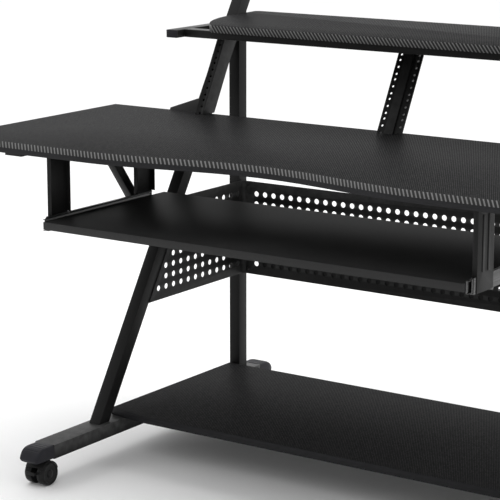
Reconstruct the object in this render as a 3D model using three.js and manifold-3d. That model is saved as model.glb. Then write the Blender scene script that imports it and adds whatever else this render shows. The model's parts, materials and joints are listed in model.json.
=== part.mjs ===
// A wide computer desk on castors: two leaning steel side frames carry a desktop with a scooped
// front edge, a pull-out keyboard tray, a lower shelf, and an upper shelf over two equipment bays.
// Millimetres, +Z up. X runs along the desktop, -Y points at the person sitting at it.
// While the pieces are shaped, Y = 0 is the front face of the two rear posts and Z = 0 is the floor.
import * as THREE from 'three';
import { mergeVertices } from 'three/addons/utils/BufferGeometryUtils.js';
import Module from 'manifold-3d';

const wasm = await Module();
wasm.setup();

// ---- driving sizes -------------------------------------------------------------------------

const GAP = 0.3; // left between pieces that touch
const SLIP = 0.6; // left between pieces that run past each other

const FRAME_WIDTH = 1055; // over the outside faces of the two side frames
const TUBE_WIDTH = 28; // frame tube, across the desk
const TUBE_DEPTH = 30; // frame tube, front to back
const TUBE_WALL = 1.5;

const FOOT_WIDTH = 52;
const FOOT_HEIGHT = 30;
const FOOT_FRONT = -694;
const FOOT_REAR = 70;
const FOOT_CAP_LENGTH = 56;

const LEG_LEAN = 31.8 * Math.PI / 180; // away from upright, leaning back
const LEG_FRONT_AT_FLOOR = -582; // where the front face of a leg would meet the floor
const LEG_TOP = 980;
const LEG_CAP_THICKNESS = 4;

const WHEEL_RADIUS = 25;
const CASTOR_HEADROOM = 4; // from the top of the wheels to the foot
const WHEEL_OUTER_FACE = 26; // from the middle of the castor
const WHEEL_INNER_FACE = 7.5;
const AXLE_RADIUS = 3;
const CASTOR_TRAIL = 22; // from the swivel stem to the axle
const CASTOR_STEM_INSET = 9; // from the end of the foot tube to the stem
const STEM_RADIUS = 5;
const STEM_IN_FOOT = 16; // how far the stem goes up into the foot
const PEDAL_SWING = 20 * Math.PI / 180;

const LOWER_SHELF_THICKNESS = 16;
const LOWER_SHELF_FRONT = -466;
const LOWER_SHELF_REAR = -3;

const DESK_WIDTH = 1500;
const DESK_TOP = 716;
const DESK_THICKNESS = 22;
const DESK_FRONT = -708;
const DESK_BEVEL_OUT = 8;
const DESK_BEVEL_DOWN = 11;
const SCOOP_DEPTH = 53;
const SCOOP_HALF_WIDTH = 385;

const UPPER_SHELF_INSET = 16.5; // from the outside of the frame to the ends of the upper shelf
const UPPER_SHELF_THICKNESS = 16;
const UPPER_SHELF_FRONT = -240;
const UPPER_SHELF_REAR = 88;
const SHELF_TUBE_BOTTOM = 892.5;
const SHELF_TUBE_HEIGHT = 17;
const SHELF_RAIL_SETBACK = 30; // from the front edge of the upper shelf to its front rail

const TRAY_WIDTH = 965;
const TRAY_DROP = 151.5; // from the top of the desktop to the top of the tray
const TRAY_THICKNESS = 16;
const TRAY_FRONT = -720;
const TRAY_DEPTH = 407;
const SLIDE_HEIGHT = 30;
const SLIDE_LENGTH = 350;
const SLIDE_METAL = 1;
const HANGER_DEPTH = 62;
const HANGER_METAL = 1.5;
const HANGER_FLANGE = 10;
const HANGER_FRONT = -692;
const HANGER_SPACING = 286; // from the front hanger to the rear one
const HANGER_TOP_FLANGE = 34;

const PANEL_METAL = 1.5;
const PANEL_HEIGHT = 220;
const PANEL_DROP = 177; // from the top of the desktop to the top of the guard
const PANEL_BEND_RADIUS = 10;
const PANEL_REAR_FACE = 14.9;

const RACK_COLUMN_SPACING = 465.1; // between the hole columns of a 19 inch bay
const RACK_COLUMN_INSET = 12.4; // from the inner face of the frame to its hole column
const RACK_UNIT = 44.45;
const RACK_UNITS = 5;
const RACK_START = -2.2; // along the slope, from the level of the desktop to the first unit
const RACK_HOLE_RADIUS = 2.7;
const FIRST_HOLE = 6.35; // from the bottom of a unit
const HOLE_STEP = 15.875;
const RACK_LEAN = 28.4 * Math.PI / 180; // a little steeper than the legs
const RACK_FRONT_AT_SHELF = -68.875; // where the front of the rack tubes meets the upper shelf
const RACK_TUBE_WIDTH = 21;
const RACK_TUBE_DEPTH = 40;
const RACK_SETBACK = 5; // of the divider's flanges behind the front of its tube
const RACK_METAL = 2;
const DIVIDER_WIDTH = 21;

// ---- places that follow from them ----------------------------------------------------------

const FRAME_OUTER = FRAME_WIDTH / 2;
const FRAME_INNER = FRAME_OUTER - TUBE_WIDTH;
const FRAME_MIDDLE = (FRAME_OUTER + FRAME_INNER) / 2;
const FOOT_BOTTOM = 2 * WHEEL_RADIUS + CASTOR_HEADROOM;
const FOOT_TOP = FOOT_BOTTOM + FOOT_HEIGHT;
const STEM_TOP = FOOT_BOTTOM + STEM_IN_FOOT;
const DESK_BOTTOM = DESK_TOP - DESK_THICKNESS;
const SHELF_TUBE_TOP = SHELF_TUBE_BOTTOM + SHELF_TUBE_HEIGHT;
const RAIL_HALF_LENGTH = FRAME_INNER - GAP; // rails that reach from frame to frame
const DESK_RAIL_TOP = DESK_BOTTOM - 9;
const SHELF_REAR_RAIL_BOTTOM = SHELF_TUBE_TOP - TUBE_WIDTH;
const RACK_FRONT_AT_DESK = RACK_FRONT_AT_SHELF - (SHELF_TUBE_TOP - DESK_TOP) * Math.tan(RACK_LEAN);
const UPPER_SHELF_WIDTH = FRAME_WIDTH - 2 * UPPER_SHELF_INSET;
const TRAY_HALF = TRAY_WIDTH / 2;
const TRAY_TOP = DESK_TOP - TRAY_DROP;
const PANEL_TOP = DESK_TOP - PANEL_DROP;
const PANEL_BOTTOM = PANEL_TOP - PANEL_HEIGHT;
const SLIDE_DEPTH = 8 * SLIDE_METAL + SLIP;
const SLIDE_INNER_X = TRAY_HALF + GAP;
const HANGER_WEB_X = SLIDE_INNER_X + SLIDE_DEPTH + GAP;
const SLIDE_MIDDLE_Z = TRAY_TOP - TRAY_THICKNESS / 2;
const ROD_SIDES = 12;

const legFront = (z) => LEG_FRONT_AT_FLOOR + z * Math.tan(LEG_LEAN);
// A point set back from the front faces of the legs, square to them, at height z.
const leaningPoint = (setback, z) => [legFront(z) + setback / Math.cos(LEG_LEAN), z];
const legRear = (z) => leaningPoint(TUBE_DEPTH, z)[0];

// ---- finishes ------------------------------------------------------------------------------

const finishes = {
  board: { color: 0x2f3032, roughness: 0.55, metalness: 0 },
  steel: { color: 0x1c1c1e, roughness: 0.45, metalness: 0.35 },
  slide: { color: 0x2a2a2c, roughness: 0.3, metalness: 0.8 },
  plastic: { color: 0x26272b, roughness: 0.6, metalness: 0 },
  wheel: { color: 0x161617, roughness: 0.4, metalness: 0 },
};

// ---- shape helpers -------------------------------------------------------------------------

function outlineShape(points) {
  return new THREE.Shape(points.map(([u, v]) => new THREE.Vector2(u, v)));
}

function extruded(shape, length) {
  return new THREE.ExtrudeGeometry(shape, { depth: length, bevelEnabled: false, curveSegments: 8 });
}

const X_AXIS = new THREE.Vector3(1, 0, 0);
const Y_AXIS = new THREE.Vector3(0, 1, 0);
const Z_AXIS = new THREE.Vector3(0, 0, 1);

// An outline in (y, z), extruded along X between the two sides.
function prismAlongX(points, sideA, sideB) {
  const geometry = extruded(outlineShape(points), Math.abs(sideB - sideA));
  geometry.applyMatrix4(new THREE.Matrix4().makeBasis(Y_AXIS, Z_AXIS, X_AXIS));
  return geometry.translate(Math.min(sideA, sideB), 0, 0);
}

// An outline in (x, z), extruded along Y.
function prismAlongY(points, front, rear) {
  const geometry = extruded(outlineShape(points), rear - front);
  geometry.applyMatrix4(new THREE.Matrix4().makeBasis(X_AXIS, Z_AXIS, Y_AXIS.clone().negate()));
  return geometry.translate(0, rear, 0);
}

// An outline in (x, y), extruded upwards.
function prismAlongZ(points, bottom, top) {
  return extruded(outlineShape(points), top - bottom).translate(0, 0, bottom);
}

function block(xA, xB, yA, yB, zA, zB) {
  const geometry = new THREE.BoxGeometry(Math.abs(xB - xA), Math.abs(yB - yA), Math.abs(zB - zA));
  return geometry.translate((xA + xB) / 2, (yA + yB) / 2, (zA + zB) / 2);
}

function rectangle(uA, uB, vA, vB) {
  return [[uA, vA], [uB, vA], [uB, vB], [uA, vB]];
}

function rodAlongX(radius, xA, xB, y, z) {
  const geometry = new THREE.CylinderGeometry(radius, radius, Math.abs(xB - xA), ROD_SIDES);
  return geometry.rotateZ(Math.PI / 2).translate((xA + xB) / 2, y, z);
}

function rodAlongZ(radius, x, y, zA, zB) {
  const geometry = new THREE.CylinderGeometry(radius, radius, zB - zA, ROD_SIDES);
  return geometry.rotateX(Math.PI / 2).translate(x, y, (zA + zB) / 2);
}

// Points on an arc in a plane, from one angle to another, in radians.
function arc(centreU, centreV, radius, from, to, steps) {
  return Array.from({ length: steps + 1 }, (_, i) => {
    const angle = from + (to - from) * i / steps;
    return [centreU + radius * Math.cos(angle), centreV + radius * Math.sin(angle)];
  });
}

// A slab whose outline changes from level to level; every level has the same number of points.
function loftedSlab(levels) {
  const count = levels[0].outline.length;
  const positions = [];
  for (const { z, outline } of levels) {
    for (const [x, y] of outline) positions.push(x, y, z);
  }
  const flat = levels[0].outline.map(([x, y]) => new THREE.Vector2(x, y));
  const cap = THREE.ShapeUtils.triangulateShape(flat, []);
  const index = [];
  const top = (levels.length - 1) * count;
  for (const [a, b, c] of cap) {
    index.push(a, c, b);
    index.push(top + a, top + b, top + c);
  }
  for (let level = 0; level < levels.length - 1; level += 1) {
    for (let i = 0; i < count; i += 1) {
      const a = level * count + i;
      const b = level * count + (i + 1) % count;
      index.push(a, b, b + count);
      index.push(a, b + count, a + count);
    }
  }
  const geometry = new THREE.BufferGeometry();
  geometry.setAttribute('position', new THREE.Float32BufferAttribute(positions, 3));
  geometry.setIndex(index);
  return geometry;
}

function solidOf(geometry) {
  const bare = geometry.clone();
  bare.deleteAttribute('normal');
  bare.deleteAttribute('uv');
  const merged = mergeVertices(bare);
  const vertProperties = new Float32Array(merged.attributes.position.array);
  const triVerts = new Uint32Array(merged.index.array);
  return new wasm.Manifold(new wasm.Mesh({ numProp: 3, vertProperties, triVerts }));
}

function geometryOf(solid) {
  const mesh = solid.getMesh();
  const geometry = new THREE.BufferGeometry();
  geometry.setAttribute('position', new THREE.BufferAttribute(new Float32Array(mesh.vertProperties), 3));
  geometry.setIndex(new THREE.BufferAttribute(new Uint32Array(mesh.triVerts), 1));
  geometry.computeVertexNormals();
  return geometry;
}

function joined(...geometries) {
  return geometryOf(geometries.map(solidOf).reduce((whole, piece) => whole.add(piece)));
}

function cut(geometry, ...cutters) {
  return geometryOf(cutters.map(solidOf).reduce((whole, piece) => whole.subtract(piece), solidOf(geometry)));
}

const desk = new THREE.Group();

function place(name, geometry, finish, parent = desk) {
  const mesh = new THREE.Mesh(geometry, new THREE.MeshStandardMaterial(finishes[finish]));
  mesh.name = name;
  parent.add(mesh);
  return mesh;
}

// ---- boards --------------------------------------------------------------------------------

// The front line of the desktop: straight, with a bell-shaped scoop for the person.
function deskFrontLine(front) {
  const steps = 24;
  const scoop = Array.from({ length: steps + 1 }, (_, i) => {
    const x = SCOOP_HALF_WIDTH * (2 * i / steps - 1);
    return [x, front + SCOOP_DEPTH * (1 + Math.cos(Math.PI * x / SCOOP_HALF_WIDTH)) / 2];
  });
  return [[-DESK_WIDTH / 2, front], ...scoop, [DESK_WIDTH / 2, front]];
}

// The rear edge is cut to the lean of the legs, so the desktop sits close against them.
const ARM_PLATE_METAL = 2;
const DESK_REAR_SETBACK = -(ARM_PLATE_METAL + 2 * GAP);

function deskOutline(front, z) {
  const rear = leaningPoint(DESK_REAR_SETBACK, z)[0];
  return [...deskFrontLine(front), [DESK_WIDTH / 2, rear], [-DESK_WIDTH / 2, rear]];
}

function desktop() {
  return loftedSlab([
    { z: DESK_BOTTOM, outline: deskOutline(DESK_FRONT, DESK_BOTTOM) },
    { z: DESK_TOP - DESK_BEVEL_DOWN, outline: deskOutline(DESK_FRONT, DESK_TOP - DESK_BEVEL_DOWN) },
    { z: DESK_TOP, outline: deskOutline(DESK_FRONT + DESK_BEVEL_OUT, DESK_TOP) },
  ]);
}

function lowerShelf() {
  const clip = { across: 100, back: 14 };
  const half = FRAME_OUTER - 1;
  const bottom = FOOT_TOP + GAP;
  const outline = [
    [-half, LOWER_SHELF_FRONT + clip.back],
    [-half + clip.across, LOWER_SHELF_FRONT],
    [half - clip.across, LOWER_SHELF_FRONT],
    [half, LOWER_SHELF_FRONT + clip.back],
    [half, LOWER_SHELF_REAR],
    [-half, LOWER_SHELF_REAR],
  ];
  return prismAlongZ(outline, bottom, bottom + LOWER_SHELF_THICKNESS);
}

// The upper shelf narrows towards its front corners and is notched round the two legs.
function upperShelf() {
  const half = UPPER_SHELF_WIDTH / 2;
  const bottom = SHELF_TUBE_TOP + GAP;
  const top = bottom + UPPER_SHELF_THICKNESS;
  const curve = new THREE.QuadraticBezierCurve(
    new THREE.Vector2(half - 12, UPPER_SHELF_FRONT + 190),
    new THREE.Vector2(half - 34, UPPER_SHELF_FRONT + 70),
    new THREE.Vector2(half - 106, UPPER_SHELF_FRONT),
  );
  const rightFront = curve.getPoints(8).map((point) => [point.x, point.y]);
  const leftFront = rightFront.map(([x, y]) => [-x, y]);
  const corner = 8;
  const outline = [
    ...leftFront,
    ...rightFront.slice().reverse(),
    [half, UPPER_SHELF_REAR - corner],
    [half - corner, UPPER_SHELF_REAR],
    [-half + corner, UPPER_SHELF_REAR],
    [-half, UPPER_SHELF_REAR - corner],
  ];
  const notchClearance = 3;
  const notch = (side) => block(
    side * (FRAME_INNER - notchClearance), side * (half + 10),
    legFront(bottom) - notchClearance, legRear(top) + notchClearance, bottom - 5, top + 5,
  );
  return cut(prismAlongZ(outline, bottom, top), notch(-1), notch(1));
}

place('desktop', desktop(), 'board');
place('lower_shelf_board', lowerShelf(), 'board');
place('upper_shelf_board', upperShelf(), 'board');

const trayBoard = block(
  -TRAY_HALF, TRAY_HALF, TRAY_FRONT, TRAY_FRONT + TRAY_DEPTH, TRAY_TOP - TRAY_THICKNESS, TRAY_TOP,
);
place('keyboard_tray_board', trayBoard, 'board');

// ---- side frames ---------------------------------------------------------------------------

// A slanted tube with the legs' lean and level ends: outline in (y, z) from front and rear faces.
function leaningBar(frontSetback, rearSetback, bottom, top, xA, xB) {
  const outline = [
    leaningPoint(frontSetback, bottom), leaningPoint(rearSetback, bottom),
    leaningPoint(rearSetback, top), leaningPoint(frontSetback, top),
  ];
  return prismAlongX(outline, xA, xB);
}

function leaningTube(bottom, top, xA, xB) {
  const beyond = 10;
  return cut(
    leaningBar(0, TUBE_DEPTH, bottom, top, xA, xB),
    leaningBar(
      TUBE_WALL, TUBE_DEPTH - TUBE_WALL, bottom - beyond, top + beyond, xA + TUBE_WALL, xB - TUBE_WALL,
    ),
  );
}

function footTube() {
  const beyond = 10;
  const half = FOOT_WIDTH / 2;
  const stemHole = (y) => rodAlongZ(STEM_RADIUS + SLIP, 0, y, FOOT_BOTTOM - 5, FOOT_BOTTOM + TUBE_WALL + 5);
  return cut(
    block(-half, half, FOOT_FRONT, FOOT_REAR, FOOT_BOTTOM, FOOT_TOP),
    block(-half + TUBE_WALL, half - TUBE_WALL, FOOT_FRONT - beyond, FOOT_REAR + beyond,
      FOOT_BOTTOM + TUBE_WALL, FOOT_TOP - TUBE_WALL),
    stemHole(FOOT_FRONT + CASTOR_STEM_INSET),
    stemHole(FOOT_REAR - CASTOR_STEM_INSET),
  );
}

// A rounded nose that closes the foot tube, with a tongue that plugs into it over the castor stem.
function footCap(end, direction) {
  const proud = 0.6;
  const half = FOOT_WIDTH / 2 + proud;
  const face = end + direction * GAP;
  const tip = end + direction * FOOT_CAP_LENGTH;
  const low = FOOT_BOTTOM - 0.4;
  const high = FOOT_TOP + proud;
  const nose = new THREE.Shape();
  nose.moveTo(face, low);
  nose.lineTo(tip - direction * 8, low);
  nose.quadraticCurveTo(tip - direction * 1, low, tip, low + 7);
  nose.bezierCurveTo(tip - direction * 1, high - 12, tip - direction * 14, high, tip - direction * 38, high);
  nose.lineTo(face, high);
  const geometry = extruded(nose, 2 * half);
  geometry.applyMatrix4(new THREE.Matrix4().makeBasis(Y_AXIS, Z_AXIS, X_AXIS));
  geometry.translate(-half, 0, 0);
  const tongueHalf = FOOT_WIDTH / 2 - TUBE_WALL - SLIP;
  const tongueTop = FOOT_TOP - TUBE_WALL - SLIP;
  const tongue = block(
    -tongueHalf, tongueHalf, face + direction * 5, end - direction * 14, STEM_TOP + SLIP, tongueTop,
  );
  return joined(geometry, tongue);
}

// The post stands on the foot and is cut to the leaning leg that it props.
function rearPost(xA, xB) {
  const bottom = FOOT_TOP + GAP;
  const beyond = 10;
  const heightOfLegRear = (y) => (y - leaningPoint(TUBE_DEPTH + GAP, 0)[0]) / Math.tan(LEG_LEAN);
  const outline = [
    [0, bottom], [TUBE_DEPTH, bottom], [TUBE_DEPTH, heightOfLegRear(TUBE_DEPTH)], [0, heightOfLegRear(0)],
  ];
  return cut(
    prismAlongX(outline, xA, xB),
    block(xA + TUBE_WALL, xB - TUBE_WALL, TUBE_WALL, TUBE_DEPTH - TUBE_WALL, bottom - beyond, LEG_TOP),
  );
}

// A square-cut prop from the leg's front face up to the underside of the desktop.
const BRACE_WIDTH = 20;
const BRACE_DEPTH = 20;
const BRACE_TOP_Y = -486;
const BRACE_FOOT_Z = DESK_BOTTOM - 242;

function brace(middle) {
  const top = DESK_BOTTOM - GAP;
  const run = (leaningPoint(-GAP, BRACE_FOOT_Z)[0] - BRACE_TOP_Y) / (top - BRACE_FOOT_Z);
  const half = BRACE_DEPTH / 2 * Math.hypot(1, run);
  const yAt = (z, offset) => BRACE_TOP_Y + (top - z) * run + offset;
  // Where a long edge of the prop meets the leg's front face.
  const footOf = (offset) => {
    const z = (BRACE_TOP_Y + top * run + offset - leaningPoint(-GAP, 0)[0]) / (Math.tan(LEG_LEAN) + run);
    return [yAt(z, offset), z];
  };
  const outline = [[yAt(top, -half), top], footOf(-half), footOf(half), [yAt(top, half), top]];
  return prismAlongX(outline, middle - BRACE_WIDTH / 2, middle + BRACE_WIDTH / 2);
}

// A folded plate on the leg's front face, behind the desktop, that steadies the overhanging end.
const PLATE_REACH = 66; // outward from the frame
const PLATE_TOP = DESK_TOP + 27;
const PLATE_TIP_TOP = DESK_TOP + 3;
const PLATE_FOLD = 16;

function deskPlate(side) {
  const tip = side * (FRAME_OUTER + PLATE_REACH);
  const outer = side * FRAME_OUTER;
  const inner = side * FRAME_INNER;
  const rise = (z) => (z - DESK_BOTTOM) / Math.cos(LEG_LEAN);
  const face = [
    [inner, 0], [outer, 0], [tip, 0], [tip, rise(PLATE_TIP_TOP)], [outer, rise(PLATE_TOP)],
    [inner, rise(PLATE_TOP)],
  ];
  const plate = prismAlongY(face, -GAP - ARM_PLATE_METAL, -GAP);
  const slope = new THREE.Vector2(tip - outer, rise(PLATE_TIP_TOP) - rise(PLATE_TOP));
  const foldStart = outer + side * GAP;
  const foldTop = rise(PLATE_TOP) + slope.y * (foldStart - outer) / slope.x;
  const fold = [
    [foldStart, foldTop - ARM_PLATE_METAL], [tip, rise(PLATE_TIP_TOP) - ARM_PLATE_METAL],
    [tip, rise(PLATE_TIP_TOP)], [foldStart, foldTop],
  ];
  const flange = prismAlongY(fold, -GAP - ARM_PLATE_METAL, PLATE_FOLD);
  const geometry = joined(plate, flange);
  geometry.rotateX(-LEG_LEAN);
  return geometry.translate(0, legFront(DESK_BOTTOM), DESK_BOTTOM);
}

// An upturned channel screwed under the overhanging end of the desktop, front to back.
const OVERHANG_BAR_WIDTH = 44;
const OVERHANG_BAR_HEIGHT = 9;
const OVERHANG_BAR_METAL = 2;
const OVERHANG_BAR_FRONT = -684;
const OVERHANG_BAR_REAR = legFront(DESK_BOTTOM) - 38.30;
const OVERHANG_BAR_OUTSET = 40; // outward from the frame

function overhangBar(side) {
  const inner = side * (FRAME_OUTER + OVERHANG_BAR_OUTSET);
  const outer = inner + side * OVERHANG_BAR_WIDTH;
  const top = DESK_BOTTOM - GAP;
  const bar = block(inner, outer, OVERHANG_BAR_FRONT, OVERHANG_BAR_REAR, top - OVERHANG_BAR_HEIGHT, top);
  const hollow = block(
    inner + side * OVERHANG_BAR_METAL, outer - side * OVERHANG_BAR_METAL,
    OVERHANG_BAR_FRONT + OVERHANG_BAR_METAL, OVERHANG_BAR_REAR - OVERHANG_BAR_METAL,
    top - OVERHANG_BAR_HEIGHT + OVERHANG_BAR_METAL, top + 5,
  );
  return cut(bar, hollow);
}

// The tube that carries one end of the upper shelf, from its capped front end back to the leg.
function shelfSideTube(xA, xB) {
  const front = UPPER_SHELF_FRONT + 4;
  const outline = [
    [front, SHELF_TUBE_BOTTOM], leaningPoint(-GAP, SHELF_TUBE_BOTTOM),
    leaningPoint(-GAP, SHELF_TUBE_TOP), [front, SHELF_TUBE_TOP],
  ];
  const hollow = block(
    xA + TUBE_WALL, xB - TUBE_WALL, front - 10, legRear(SHELF_TUBE_TOP),
    SHELF_TUBE_BOTTOM + TUBE_WALL, SHELF_TUBE_TOP - TUBE_WALL,
  );
  return cut(prismAlongX(outline, xA, xB), hollow);
}

function shelfTubeCap(xA, xB) {
  const front = UPPER_SHELF_FRONT + 4;
  const thickness = 3;
  const plugX = TUBE_WALL + SLIP;
  const face = block(xA, xB, front - GAP - thickness, front - GAP, SHELF_TUBE_BOTTOM, SHELF_TUBE_TOP);
  const plug = block(
    xA + plugX, xB - plugX, front - GAP - 1, front + 10, SHELF_TUBE_BOTTOM + plugX, SHELF_TUBE_TOP - plugX,
  );
  return joined(face, plug);
}

function legCap(xA, xB) {
  const plugInset = TUBE_WALL + SLIP;
  const plugDepth = 12;
  const top = LEG_TOP + GAP;
  return joined(
    leaningBar(0, TUBE_DEPTH, top, top + LEG_CAP_THICKNESS, xA, xB),
    leaningBar(plugInset, TUBE_DEPTH - plugInset, top - plugDepth, top + 1, xA + plugInset, xB - plugInset),
  );
}

// ---- perforated guard (its holes are left to the finish; here it is the plain sheet) --------

const PANEL_OUTER_X = FRAME_INNER - GAP;
const PANEL_EDGE_SETBACK = TUBE_DEPTH - 1; // the sheet just laps the inside of the leg

function sidePanel(side) {
  const outer = side * PANEL_OUTER_X;
  const inner = outer - side * PANEL_METAL;
  const bendStart = PANEL_REAR_FACE - PANEL_BEND_RADIUS;
  const sheet = [
    leaningPoint(PANEL_EDGE_SETBACK, PANEL_BOTTOM), [bendStart + 0.5, PANEL_BOTTOM],
    [bendStart + 0.5, PANEL_TOP], leaningPoint(PANEL_EDGE_SETBACK, PANEL_TOP),
  ];
  const centreX = side * (PANEL_OUTER_X - PANEL_BEND_RADIUS);
  const from = side > 0 ? 0 : Math.PI;
  const bend = [
    ...arc(centreX, bendStart, PANEL_BEND_RADIUS, from, Math.PI / 2, 6),
    ...arc(centreX, bendStart, PANEL_BEND_RADIUS - PANEL_METAL, Math.PI / 2, from, 6),
  ];
  return joined(prismAlongX(sheet, inner, outer), prismAlongZ(bend, PANEL_BOTTOM, PANEL_TOP));
}

const rearPanelHalf = PANEL_OUTER_X - PANEL_BEND_RADIUS - GAP;
place('rear_panel', block(
  -rearPanelHalf, rearPanelHalf, PANEL_REAR_FACE - PANEL_METAL, PANEL_REAR_FACE, PANEL_BOTTOM, PANEL_TOP,
), 'steel');

// A shallow tube behind the bottom row of holes keeps the long sheet straight.
const GUARD_RAIL_INSET = 34; // of its ends from the ends of the rear sheet
const GUARD_RAIL_DEPTH = 20;
const GUARD_RAIL_HEIGHT = 44;

function guardRail() {
  const half = rearPanelHalf - GUARD_RAIL_INSET;
  const front = PANEL_REAR_FACE + GAP;
  const bottom = PANEL_BOTTOM + 2;
  return cut(
    block(-half, half, front, front + GUARD_RAIL_DEPTH, bottom, bottom + GUARD_RAIL_HEIGHT),
    block(-half - 10, half + 10, front + TUBE_WALL, front + GUARD_RAIL_DEPTH - TUBE_WALL,
      bottom + TUBE_WALL, bottom + GUARD_RAIL_HEIGHT - TUBE_WALL),
  );
}

place('guard_rail', guardRail(), 'steel');

// ---- equipment bays ------------------------------------------------------------------------

const RACK_LENGTH = RACK_UNITS * RACK_UNIT;

// The sloping section between two depths behind the drilled faces, cut level by the desktop and the
// upper shelf; "beyond" carries it past both.
function rackSection(front, rear, beyond) {
  const bottom = DESK_TOP + GAP - beyond;
  const top = SHELF_TUBE_TOP + beyond;
  const y = (depth, z) => (
    RACK_FRONT_AT_DESK + (z - DESK_TOP) * Math.tan(RACK_LEAN) + depth / Math.cos(RACK_LEAN)
  );
  return [[y(front, bottom), bottom], [y(rear, bottom), bottom], [y(rear, top), top], [y(front, top), top]];
}

function rackTube(xA, xB) {
  return cut(
    prismAlongX(rackSection(0, RACK_TUBE_DEPTH, 0), xA, xB),
    prismAlongX(rackSection(TUBE_WALL, RACK_TUBE_DEPTH - TUBE_WALL, 10), xA + TUBE_WALL, xB - TUBE_WALL),
  );
}

// The 19 inch pattern: three holes in each unit, drilled square to the sloping face.
function rackHoles(columnX, front, rear) {
  const holes = [];
  for (let unit = 0; unit < RACK_UNITS; unit += 1) {
    for (let hole = 0; hole < 3; hole += 1) {
      const height = RACK_START + unit * RACK_UNIT + FIRST_HOLE + hole * HOLE_STEP;
      const drill = new THREE.CylinderGeometry(RACK_HOLE_RADIUS, RACK_HOLE_RADIUS, rear - front, ROD_SIDES);
      drill.translate(columnX, (front + rear) / 2, height);
      drill.rotateX(-RACK_LEAN);
      holes.push(drill.translate(0, RACK_FRONT_AT_DESK, DESK_TOP));
    }
  }
  return holes;
}

const COLUMN_FROM_MIDDLE = FRAME_INNER - RACK_COLUMN_INSET;
const DIVIDER_COLUMN = COLUMN_FROM_MIDDLE - RACK_COLUMN_SPACING;
const DIVIDER_FLANGE_EDGE = 8.5; // from its hole column to its free edge

// A side rail is a tube against the inside of the leg, drilled through its front wall.
function rackRail(side) {
  const wall = side * (FRAME_INNER - GAP);
  const inner = wall - side * RACK_TUBE_WIDTH;
  return cut(
    rackTube(Math.min(wall, inner), Math.max(wall, inner)),
    ...rackHoles(side * COLUMN_FROM_MIDDLE, -3, TUBE_WALL + 3),
  );
}

// The divider is the same tube with a drilled flange on each side.
function centreDivider() {
  const half = DIVIDER_WIDTH / 2;
  const overlap = 0.5;
  const flange = (side) => {
    const edges = [side * (half - overlap), side * (DIVIDER_COLUMN + DIVIDER_FLANGE_EDGE)];
    return cut(
      prismAlongX(rackSection(RACK_SETBACK, RACK_SETBACK + RACK_METAL, 0), ...edges),
      ...rackHoles(side * DIVIDER_COLUMN, RACK_SETBACK - 3, RACK_SETBACK + RACK_METAL + 3),
    );
  };
  return joined(rackTube(-half, half), flange(-1), flange(1));
}

place('centre_divider', centreDivider(), 'steel');

function crossRail(name, frontY, depth, bottom, top) {
  const beyond = 10;
  const rear = frontY + depth;
  place(name, cut(
    block(-RAIL_HALF_LENGTH, RAIL_HALF_LENGTH, frontY, rear, bottom, top),
    block(-RAIL_HALF_LENGTH - beyond, RAIL_HALF_LENGTH + beyond, frontY + TUBE_WALL, rear - TUBE_WALL,
      bottom + TUBE_WALL, top - TUBE_WALL),
  ), 'steel');
}

const DESK_RAIL_HEIGHT = 30;
crossRail('desk_rear_rail', legFront(DESK_RAIL_TOP) - 6, TUBE_DEPTH,
  DESK_RAIL_TOP - DESK_RAIL_HEIGHT, DESK_RAIL_TOP);
crossRail('shelf_front_rail', UPPER_SHELF_FRONT + SHELF_RAIL_SETBACK, TUBE_DEPTH,
  SHELF_TUBE_BOTTOM, SHELF_TUBE_TOP);
crossRail('shelf_rear_rail', rackSection(0, RACK_TUBE_DEPTH, 0)[2][0] + GAP, TUBE_DEPTH,
  SHELF_REAR_RAIL_BOTTOM, SHELF_TUBE_TOP);

// ---- keyboard tray gear --------------------------------------------------------------------

// Three nested channels: the inner one rides on the tray, the middle one between, the outer one
// on the hangers. Each is a C in (x, z); "open" says which way its mouth faces.
function slideMember(side, xNear, xFar, webAtFar, height, front) {
  const half = height / 2;
  const zLow = SLIDE_MIDDLE_Z - half;
  const zHigh = SLIDE_MIDDLE_Z + half;
  const body = block(side * xNear, side * xFar, front, front + SLIDE_LENGTH, zLow, zHigh);
  const mouthNear = webAtFar ? xNear - 5 : xNear + SLIDE_METAL;
  const mouthFar = webAtFar ? xFar - SLIDE_METAL : xFar + 5;
  const mouth = block(
    side * mouthNear, side * mouthFar, front - 5, front + SLIDE_LENGTH + 5,
    zLow + SLIDE_METAL, zHigh - SLIDE_METAL,
  );
  return cut(body, mouth);
}

const slideStep = 2 * (SLIDE_METAL + SLIP); // each channel is this much lower than the one round it
const slideOuterX = SLIDE_INNER_X + SLIDE_DEPTH;
const SLIDE_FRONT = HANGER_FRONT - 8;

// A folded channel that hangs from the desktop, open towards the tray, with its web carried
// down past the flanges to hold the slide.
function hanger(side, front) {
  const webNear = side * HANGER_WEB_X;
  const webFar = side * (HANGER_WEB_X + HANGER_METAL);
  const flangeTip = side * (HANGER_WEB_X + HANGER_METAL - HANGER_FLANGE);
  const top = DESK_BOTTOM - GAP;
  const webBottom = SLIDE_MIDDLE_Z - SLIDE_HEIGHT / 2;
  const flangeBottom = SLIDE_MIDDLE_Z + SLIDE_HEIGHT / 2 + SLIP;
  const rear = front + HANGER_DEPTH;
  const rib = (y) => block(
    webFar - side * 0.5, webFar + side * 1.5, y - 3, y + 3, flangeBottom + 6, top - 12,
  );
  return joined(
    block(webNear, webFar, front, rear, webBottom, top),
    block(flangeTip, webFar, front, front + HANGER_METAL, flangeBottom, top),
    block(flangeTip, webFar, rear - HANGER_METAL, rear, flangeBottom, top),
    block(webNear, webFar + side * HANGER_TOP_FLANGE, front, rear, top - HANGER_METAL, top),
    rib(front + HANGER_DEPTH / 3),
    rib(front + HANGER_DEPTH * 2 / 3),
  );
}

// ---- castors -------------------------------------------------------------------------------

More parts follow.
